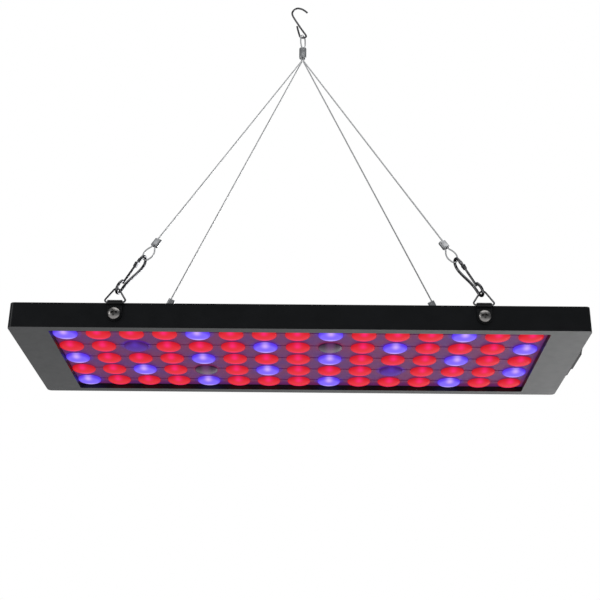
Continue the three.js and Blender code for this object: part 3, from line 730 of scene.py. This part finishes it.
def tab_plate(leg):
    """The sheet-metal tab: flat tongue with a round foot, and its top rolled round the ring's bar."""
    half, thick, roll = TAB["width"] / 2, TAB["thick"], TAB["roll"]
    outline = arc(leg.x, TAB["low"] + half, half, 180, 360, 25)
    outline += [(leg.x + half, TAB["bar"]), (leg.x - half, TAB["bar"])]
    plate_y = leg.side * (PANEL_WIDTH / 2 + GAP + thick / 2)
    bm = bmesh.new()
    near = [bm.verts.new((x, plate_y - thick / 2, z)) for x, z in outline]
    far = [bm.verts.new((x, plate_y + thick / 2, z)) for x, z in outline]
    count = len(outline)
    bm.faces.new(near)
    bm.faces.new(list(reversed(far)))
    for i in range(count):
        j = (i + 1) % count
        bm.faces.new((near[j], near[i], far[i], far[j]))
    rims = [e for e in bm.edges if abs(e.verts[0].co.y - e.verts[1].co.y) < 1e-6]
    bmesh.ops.bevel(bm, geom=rims, offset=0.16, segments=2, affect="EDGES", profile=0.5)
    bore = RING["wire"] + 0.2
    shell = [(bore, -half), (roll - 0.12, -half), (roll, -half + 0.12), (roll, half - 0.12),
             (roll - 0.12, half), (bore, half), (bore, -half)]
    turn_profile(bm, shell, leg.bar, X, Z, 36)
    bmesh.ops.remove_doubles(bm, verts=bm.verts, dist=1e-5)
    piece = make_piece("tab_plate_" + leg.name, bm, SLOT_MATERIALS["housing"])
    settle(piece, "light", "hanger_tab_" + leg.name)


def pan_screw(leg):
    """The tab's pan-head screw with its cross recess."""
    head, height = TAB_SCREW["head"], TAB_SCREW["height"]
    shank, length = TAB_SCREW["shank"], TAB_SCREW["length"]
    axis = Vector((0, leg.side, 0))
    seat = Vector((leg.x, leg.side * (PANEL_WIDTH / 2 + TAB["thick"] + 1.5 * GAP), TAB_SCREW["z"]))
    dome = [(head * math.cos(t), height * (0.3 + 0.7 * math.sin(t)))
            for t in (math.radians(a) for a in (0, 12, 25, 38, 52, 66, 80))]
    profile = [(0, -length), (shank * 0.6, -length), (shank, -length + 0.5), (shank, 0),
               (head - 0.15, 0), (head, 0.15), *dome, (0, height)]
    bm = bmesh.new()
    turn_profile(bm, profile, seat, axis, X, 48)
    tool = bmesh.new()
    for long_axis, short_axis in ((X, Z), (Z, X)):
        cross_bar(tool, seat + axis * height, axis, long_axis, short_axis, head, height)
    piece = carve(make_piece("pan_screw_" + leg.name, bm, SCREW_STEEL), tool)
    settle(piece, "light", "tab_screw_" + leg.name)


def cross_bar(tool, top, axis, long_axis, short_axis, head, height):
    """One tapered bar of a cross recess, reaching into the head from its top."""
    corners = []
    floor_level = (-0.75 * height, 0.24 * head, 0.08 * head)
    mouth_level = (0.3, 0.66 * head, 0.17 * head)
    for depth, long_half, short_half in (floor_level, mouth_level):
        for a, b in ((-1, -1), (1, -1), (1, 1), (-1, 1)):
            corner = top + axis * depth + long_axis * a * long_half + short_axis * b * short_half
            corners.append(tool.verts.new(corner))
    for face in ((3, 2, 1, 0), (4, 5, 6, 7), (0, 1, 5, 4), (1, 2, 6, 5), (2, 3, 7, 6), (3, 0, 4, 7)):
        tool.faces.new([corners[i] for i in face])


def carve(piece, tool):
    """Cuts the tool's shape out of a piece and keeps the result as its mesh."""
    cutter = make_piece(piece.name + "_cutter", tool, [])
    cut = piece.modifiers.new("recess", "BOOLEAN")
    cut.operation = "DIFFERENCE"
    cut.solver = "EXACT"
    cut.use_self = True
    cut.object = cutter
    graph = bpy.context.evaluated_depsgraph_get()
    result = bpy.data.meshes.new_from_object(piece.evaluated_get(graph))
    piece.modifiers.remove(cut)
    piece.data = result
    bpy.data.objects.remove(cutter)
    bm = bmesh.new()
    bm.from_mesh(result)
    smooth_edges(bm, SMOOTH_ANGLE)
    bm.to_mesh(result)
    bm.free()
    return piece


# ------------------------------------------------------------------ lenses
BLUE_COLUMNS = ((0, 4, 8, 12), (6, 10, 14), (0, 4, 8, 12), (2, 6, 14), (0, 4, 8, 12))
VIOLET = {(1, 2), (3, 10)}
INFRARED = {(1, 8), (3, 4)}


def lens_kind(row, column):
    """Which of the row's four lens materials a lens shows: red, blue, violet or dark."""
    if (row, column) in VIOLET:
        return 2
    if (row, column) in INFRARED:
        return 3
    return 1 if column in BLUE_COLUMNS[row] else 0


def lens_row(row):
    """One row of domed lenses, each on a short straight foot."""
    bm = bmesh.new()
    layer = bm.loops.layers.uv.new("lens")
    y = LENS["y"] + (row - (LENS["rows"] - 1) / 2) * LENS["pitch_y"]
    cap = [(LENS_RADIUS * math.sin(math.radians(a)), LENS_DOME * math.cos(math.radians(a)))
           for a in range(0, 91, 9)]
    profile = [(r, LENS_BASE - h) for r, h in cap]
    profile += [(LENS_RADIUS, LENS_BACK - 0.2), (LENS_RADIUS, LENS_BACK), (0, LENS_BACK)]
    for column in range(LENS["columns"]):
        x = LENS["x"] + (column - (LENS["columns"] - 1) / 2) * LENS["pitch_x"]
        known = set(bm.faces)
        turn_profile(bm, profile, Vector((x, y, 0)), Z, X, 40)
        for face in set(bm.faces) - known:
            face.material_index = lens_kind(row, column)
            for loop in face.loops:
                place = loop.vert.co
                width = 2 * LENS_RADIUS
                loop[layer].uv = (0.5 + (place.x - x) / width, 0.5 + (place.y - y) / width)
    piece = make_piece(f"lens_domes_{row + 1}", bm, [RED_LENS, BLUE_LENS, VIOLET_LENS, DARK_LENS], 60)
    settle(piece, "light", f"lens_row_{row + 1}")


# ------------------------------------------------------------------ top of the sling
def top_eye():
    """The wire eye that rises from the top sleeve and hangs in the ceiling hook."""
    turn = math.radians(EYE["turn"])
    across = Vector((math.cos(turn), math.sin(turn), 0))
    base = TOP_SLEEVE["z"] + TOP_SLEEVE["length"]
    centre = HOOK_PIVOT[1] - EYE["drop"]
    rising = [(0.75, base - 3), (0.8, base - 0.4), (1.7, base + 1.3), (2.4, base + 3.4), (2.5, base + 5.2)]
    route = rising + arc(0, centre, EYE["arch"], 0, 180, 9) + [(-a, b) for a, b in reversed(rising)]
    points = []
    for a, b in route:
        share = min(1, max(0, (b - base) / (centre - base)))
        x = TOP_SLEEVE["x"] + (HOOK_PIVOT[0] - TOP_SLEEVE["x"]) * share
        points.append(Vector((x, 0, b)) + across * a)
    bm = bmesh.new()
    sweep(bm, spline(points, 8), EYE["wire"], sides=14, uv_name="rope")
    piece = make_piece("eye_wire", bm, WIRE_ROPE, 50)
    settle(piece, "light", "top_eye")


def ceiling_hook():
    """The S-shaped ceiling hook: open bend above, closed-in bend for the eye below."""
    route = [(2.2, 246), (0.5, 247.7), (-1.3, 249), (-3.1, 249.6), (-4.5, 249.75), (-6.3, 248.85),
             (-7.55, 247.2), (-7.9, 245.8), (-7.65, 244.1), (-6.2, 241), (-4.05, 237.1), (-2.2, 233.9),
             (-0.4, 230.9), (1.15, 228.3), (1.4, 227.3), (0.95, 226.5), (0.2, 226.15), HOOK_PIVOT,
             (-1.4, 226.15), (-2.2, 226.6), (-2.8, 227.7), (-3.2, 229.2), (-3.9, 232.1), (-4.6, 235.4)]
    bm = bmesh.new()
    sweep(bm, spline([Vector((x, 0, z)) for x, z in route], 8), HOOK_WIRE, sides=20)
    piece = make_piece("hook_wire", bm, SLOT_MATERIALS["chrome"])
    settle(piece, "hook", "ceiling_hook")


# ------------------------------------------------------------------ CAD nodes that stay
def dress_nodes():
    """Every CAD node takes its slot's material (lens rows: red), and three get softened edges."""
    slots = {row["node"]: row["material_slot"] for row in frame["record"]["subparts"]}
    for name, node in frame["nodes"].items():
        material = SLOT_MATERIALS.get(slots[name], RED_LENS)
        if not node.material_slots:
            node.data.materials.append(material)
        for place in node.material_slots:
            place.material = material
    for name, width in (("front_frame", 0.3), ("back_cover", 0.15), ("inlet_body", 0.25)):
        soften = frame["nodes"][name].modifiers.new("soft_edges", "BEVEL")
        soften.width = width * MM
        soften.segments = 3
        soften.limit_method = "ANGLE"
        soften.angle_limit = math.radians(40)
        soften.harden_normals = True


# ------------------------------------------------------------------ studio, in metres
FLOOR_Z = -0.62
FLOOR_SIZE = 40


def area_light(name, place, target, size, energy):
    """A white rectangular light at a place, in metres, facing a target."""
    data = bpy.data.lights.new(name, "AREA")
    data.shape = "RECTANGLE"
    data.size, data.size_y = size
    data.energy = energy
    light = bpy.data.objects.new(name, data)
    light.location = place
    light.rotation_euler = (Vector(target) - Vector(place)).to_track_quat("-Z", "Y").to_euler()
    bpy.context.collection.objects.link(light)


def floor():
    """A wide, plain pale floor under the light."""
    n = Nodes("floor_pale")
    tone = n.ramp(n.noise(400, 2), (0.3, (0.8, 0.8, 0.8)), (0.7, (0.84, 0.84, 0.84)))
    n.link(tone, n.shader.inputs["Base Color"])
    n.set(rough=0.9, specular=0.1, emission=(1, 1, 1, 1), strength=0.3)
    bm = bmesh.new()
    bmesh.ops.create_grid(bm, x_segments=2, y_segments=2, size=FLOOR_SIZE)
    mesh = bpy.data.meshes.new("floor")
    bm.to_mesh(mesh)
    bm.free()
    mesh.materials.append(n.material)
    ground = bpy.data.objects.new("floor", mesh)
    ground.location = (0, 0, FLOOR_Z)
    bpy.context.collection.objects.link(ground)


def world():
    """White to the camera, and a dimmer, faintly blue room to everything else."""
    scene = bpy.context.scene
    scene.world = bpy.data.worlds.new("studio")
    scene.world.use_nodes = True
    tree = scene.world.node_tree
    tree.nodes.clear()
    seen = tree.nodes.new("ShaderNodeBackground")
    seen.inputs["Color"].default_value = (1, 1, 1, 1)
    seen.inputs["Strength"].default_value = 1.0
    room = tree.nodes.new("ShaderNodeBackground")
    room.inputs["Color"].default_value = (0.9, 0.95, 1, 1)
    room.inputs["Strength"].default_value = 0.17
    path = tree.nodes.new("ShaderNodeLightPath")
    mix = tree.nodes.new("ShaderNodeMixShader")
    out = tree.nodes.new("ShaderNodeOutputWorld")
    tree.links.new(path.outputs["Is Camera Ray"], mix.inputs[0])
    tree.links.new(room.outputs[0], mix.inputs[1])
    tree.links.new(seen.outputs[0], mix.inputs[2])
    tree.links.new(mix.outputs[0], out.inputs[0])


def studio():
    """The world, the floor and three soft lights."""
    world()
    floor()
    area_light("rear_right", (1.1, 1.2, -0.1), (0.75, 0.85, -0.62), (0.5, 0.5), 32)
    area_light("overhead", (0.2, -0.3, 1.3), (0, 0, -0.2), (1.6, 1.6), 14)
    area_light("left_front", (-1.5, -1.2, 0.3), (0, 0, -0.2), (0.3, 0.8), 5)


# ------------------------------------------------------------------ making
make_camera()
for one in LEGS:
    rope(one)
for one in LEGS:
    ring(one)
    clip(one)
    gate(one)
    tab_plate(one)
    pan_screw(one)
    sleeve_end = one.at(one.face, ROPE["aside"], SLEEVE["from"])
    pressed_sleeve("pressed_sleeve_" + one.name, sleeve_end, one.pull, one.face, SLEEVE,
                   "wire_sleeve_" + one.name)
pressed_sleeve("pressed_sleeve_top", Vector((TOP_SLEEVE["x"], 0, TOP_SLEEVE["z"])), Z, X, TOP_SLEEVE,
               "top_sleeve")
top_eye()
ceiling_hook()
for index in range(LENS["rows"]):
    lens_row(index)
dress_nodes()
studio()
bpy.context.scene.view_settings.view_transform = "Standard"
